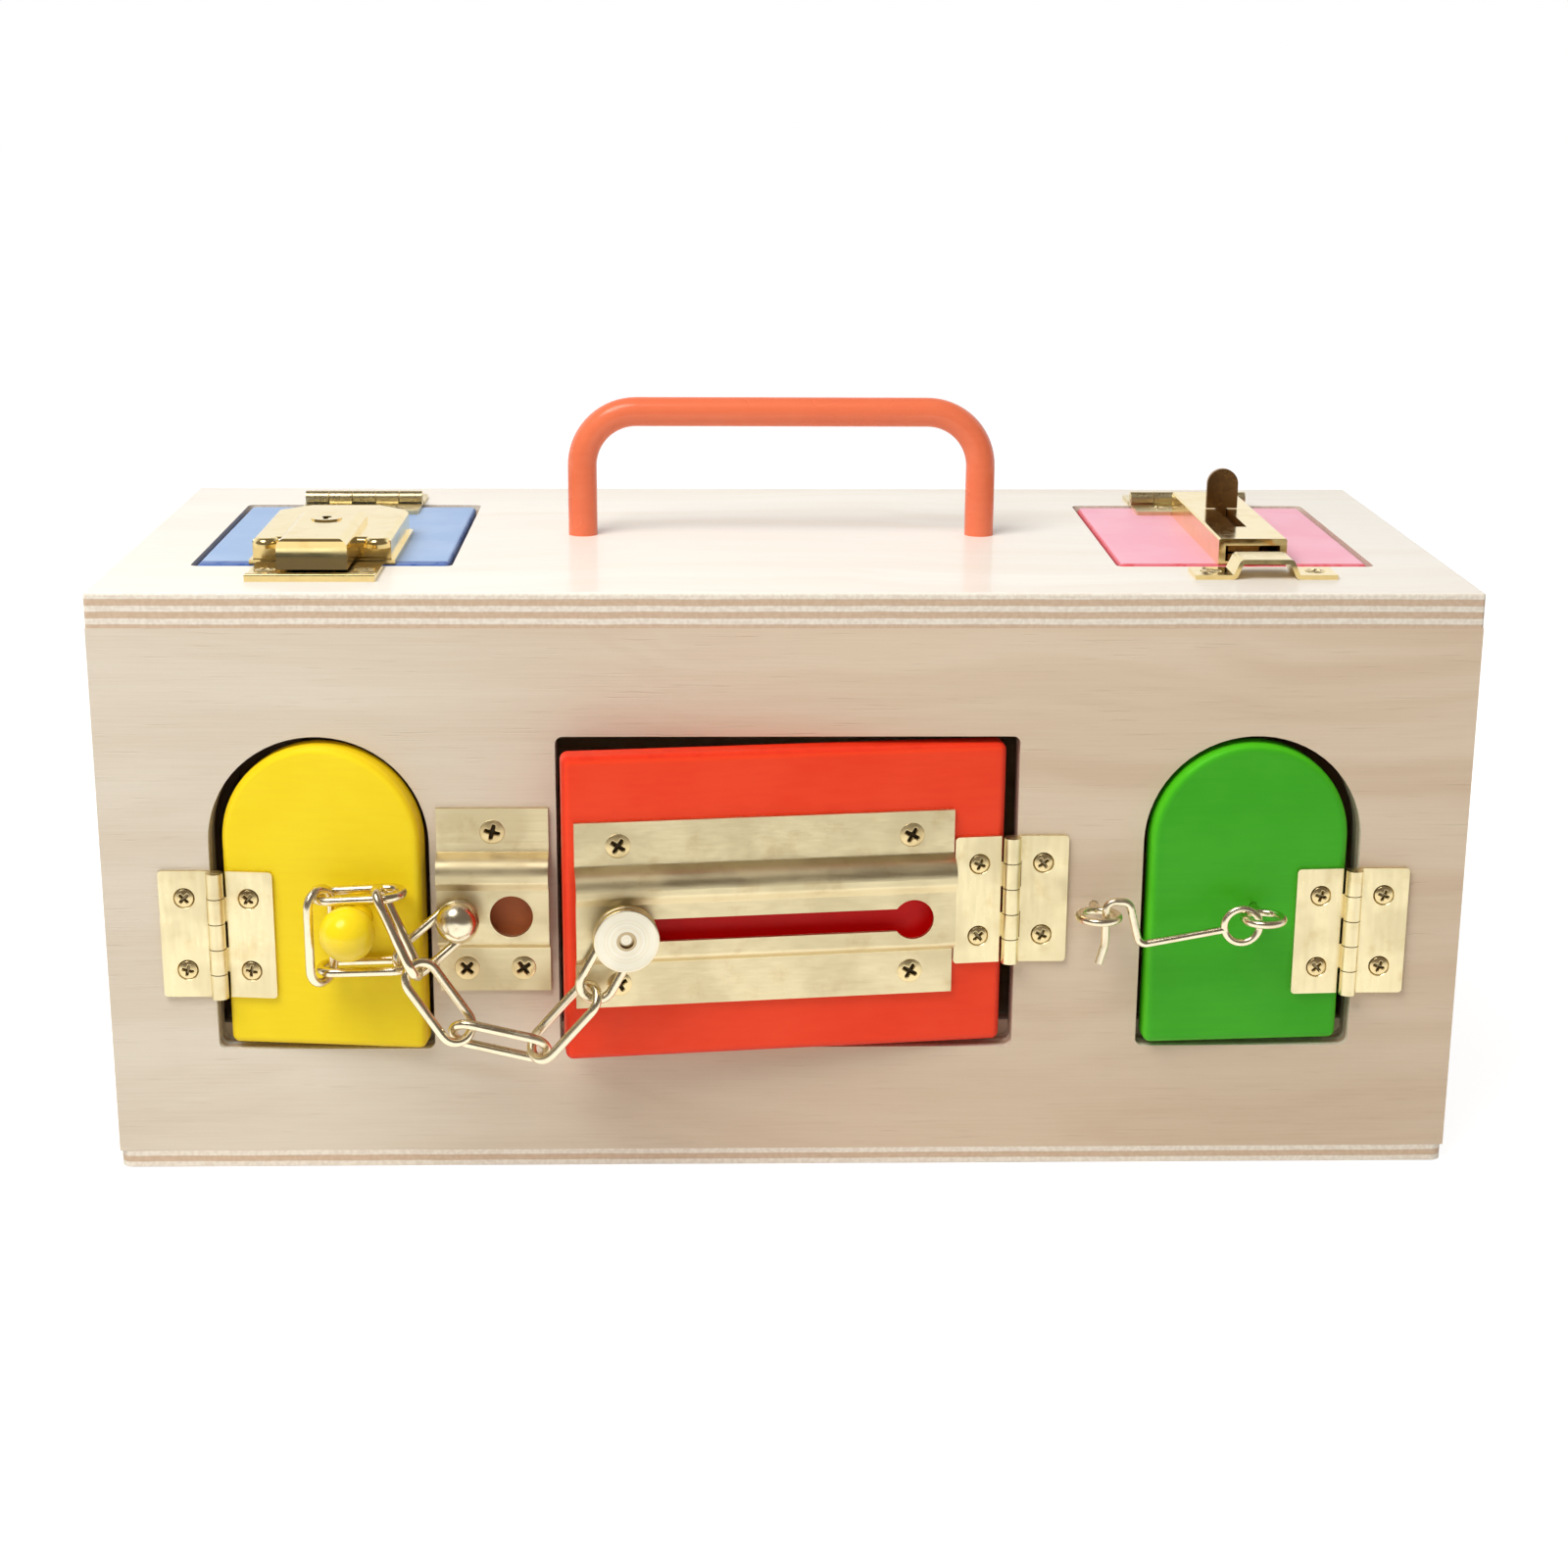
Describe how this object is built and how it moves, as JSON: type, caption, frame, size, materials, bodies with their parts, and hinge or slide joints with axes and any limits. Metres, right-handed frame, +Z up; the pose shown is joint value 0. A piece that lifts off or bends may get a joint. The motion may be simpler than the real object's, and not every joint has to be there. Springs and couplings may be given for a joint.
{
  "type": "wooden lock box",
  "caption": "Plywood practice box with painted hinged doors and flaps, each held by its own brass fastening: door chain, hook and eye, key lock or slide bolt.",
  "frame": {"origin": "middle of the underside of the bottom panel", "axes": "+X along the box's length, to the right as seen from the front; +Y from the front to the back; +Z up"},
  "size_m": [0.35, 0.1815, 0.192],
  "materials": {
    "birch_plywood": "clear sanded plywood",
    "yellow_paint": "smooth satin paint on wood",
    "red_paint": "smooth satin paint on wood",
    "green_paint": "smooth satin paint on wood",
    "blue_paint": "smooth satin paint on wood",
    "pink_paint": "smooth satin paint on wood",
    "orange_paint": "smooth satin paint",
    "hinge_brass": "bright plated",
    "plate_brass": "brushed pressed sheet",
    "polished_brass": "polished",
    "wire_brass": "bright wire",
    "screw_brass": "plated screws"
  },
  "bodies": {
    "box": {"top_panel": "birch_plywood", "front_panel": "birch_plywood", "back_panel": "birch_plywood", "left_side_panel": "birch_plywood", "right_side_panel": "birch_plywood", "bottom_panel": "birch_plywood", "carry_handle": "orange_paint", "handle_screws": "screw_brass", "door_stops": "birch_plywood", "flap_ledges": "birch_plywood", "yellow_hinge_frame_leaf": "hinge_brass", "red_hinge_frame_leaf": "hinge_brass", "green_hinge_frame_leaf": "hinge_brass", "blue_hinge_frame_leaf": "hinge_brass", "pink_hinge_frame_leaf": "hinge_brass", "hinge_pins": "hinge_brass", "hinge_frame_screws": "screw_brass", "chain_holder_plate": "plate_brass", "chain_holder_post": "polished_brass", "chain_holder_screws": "screw_brass", "frame_screw_eye": "wire_brass", "lock_strike_plate": "polished_brass", "bolt_keeper": "polished_brass", "top_hardware_screws": "screw_brass", "door_chain_link_1": "wire_brass", "door_chain_link_2": "wire_brass", "door_chain_link_4": "wire_brass", "door_chain_link_5": "wire_brass", "door_chain_link_6": "wire_brass", "door_chain_link_7": "wire_brass"},
    "yellow_door": {"yellow_door_panel": "yellow_paint", "yellow_hinge_door_leaf": "hinge_brass", "yellow_door_screws": "screw_brass", "yellow_knob": "yellow_paint", "door_chain_link_3": "wire_brass"},
    "red_door": {"red_door_panel": "red_paint", "red_hinge_door_leaf": "hinge_brass", "red_door_screws": "screw_brass", "chain_track_plate": "plate_brass", "door_chain_link_8": "wire_brass", "door_chain_link_9": "wire_brass"},
    "chain_stud": {"chain_stud": "polished_brass"},
    "green_door": {"green_door_panel": "green_paint", "green_hinge_door_leaf": "hinge_brass", "green_door_screws": "screw_brass", "door_screw_eye": "wire_brass"},
    "gate_hook": {"gate_hook": "wire_brass"},
    "blue_flap": {"blue_flap_panel": "blue_paint", "blue_hinge_flap_leaf": "hinge_brass", "blue_flap_screws": "screw_brass", "lock_base_plate": "polished_brass", "lock_case": "polished_brass"},
    "lock_plug": {"lock_plug": "polished_brass"},
    "lock_latch": {"lock_latch": "polished_brass"},
    "pink_flap": {"pink_flap_panel": "pink_paint", "pink_hinge_flap_leaf": "hinge_brass", "pink_flap_screws": "screw_brass", "bolt_tube": "polished_brass"},
    "slide_bolt": {"slide_bolt": "polished_brass"}
  },
  "joints": [
    {"name": "yellow_door_swing", "type": "hinge", "parent": "box", "child": "yellow_door", "pos_m": [-0.146, -0.0803, 0.065], "axis": [0, 0, -1], "range_deg": [-6, 44], "deforming": ["door_chain_link_1", "door_chain_link_2", "door_chain_link_4", "door_chain_link_5"]},
    {"name": "red_door_swing", "type": "hinge", "parent": "box", "child": "red_door", "pos_m": [0.0575, -0.0803, 0.074], "axis": [0, 0, 1], "range_deg": [-7, 30], "deforming": ["door_chain_link_6", "door_chain_link_7"]},
    {"name": "chain_stud_slide", "type": "slide", "parent": "red_door", "child": "chain_stud", "axis": [0.9925, 0.1219, 0], "range_m": [0, 0.03], "deforming": ["door_chain_link_8", "door_chain_link_9"]},
    {"name": "green_door_swing", "type": "hinge", "parent": "box", "child": "green_door", "pos_m": [0.146, -0.0803, 0.065], "axis": [0, 0, 1], "range_deg": [-3.5, 104]},
    {"name": "hook_lift", "type": "hinge", "parent": "green_door", "child": "gate_hook", "pos_m": [0.11597, -0.08955, 0.072], "axis": [0, 1, 0], "range_deg": [0, 110]},
    {"name": "blue_flap_lift", "type": "hinge", "parent": "box", "child": "blue_flap", "pos_m": [-0.121, 0.0465, 0.1563], "axis": [-1, 0, 0], "range_deg": [0, 105]},
    {"name": "lock_turn", "type": "hinge", "parent": "blue_flap", "child": "lock_plug", "pos_m": [-0.121, -0.0304, 0.16], "axis": [0, 0, -1], "range_deg": [0, 90]},
    {"name": "lock_latch_slide", "type": "slide", "parent": "blue_flap", "child": "lock_latch", "axis": [0, -1, 0], "range_m": [0, 0.008]},
    {"name": "pink_flap_lift", "type": "hinge", "parent": "box", "child": "pink_flap", "pos_m": [0.121, 0.0465, 0.1563], "axis": [-1, 0, 0], "range_deg": [0, 105]},
    {"name": "slide_bolt_slide", "type": "slide", "parent": "pink_flap", "child": "slide_bolt", "axis": [0, -1, 0], "range_m": [0, 0.027]}
  ],
  "couplings": [
    {"joint": "lock_turn", "follows": "lock_latch_slide", "rad_per_m": 196.35}
  ]
}
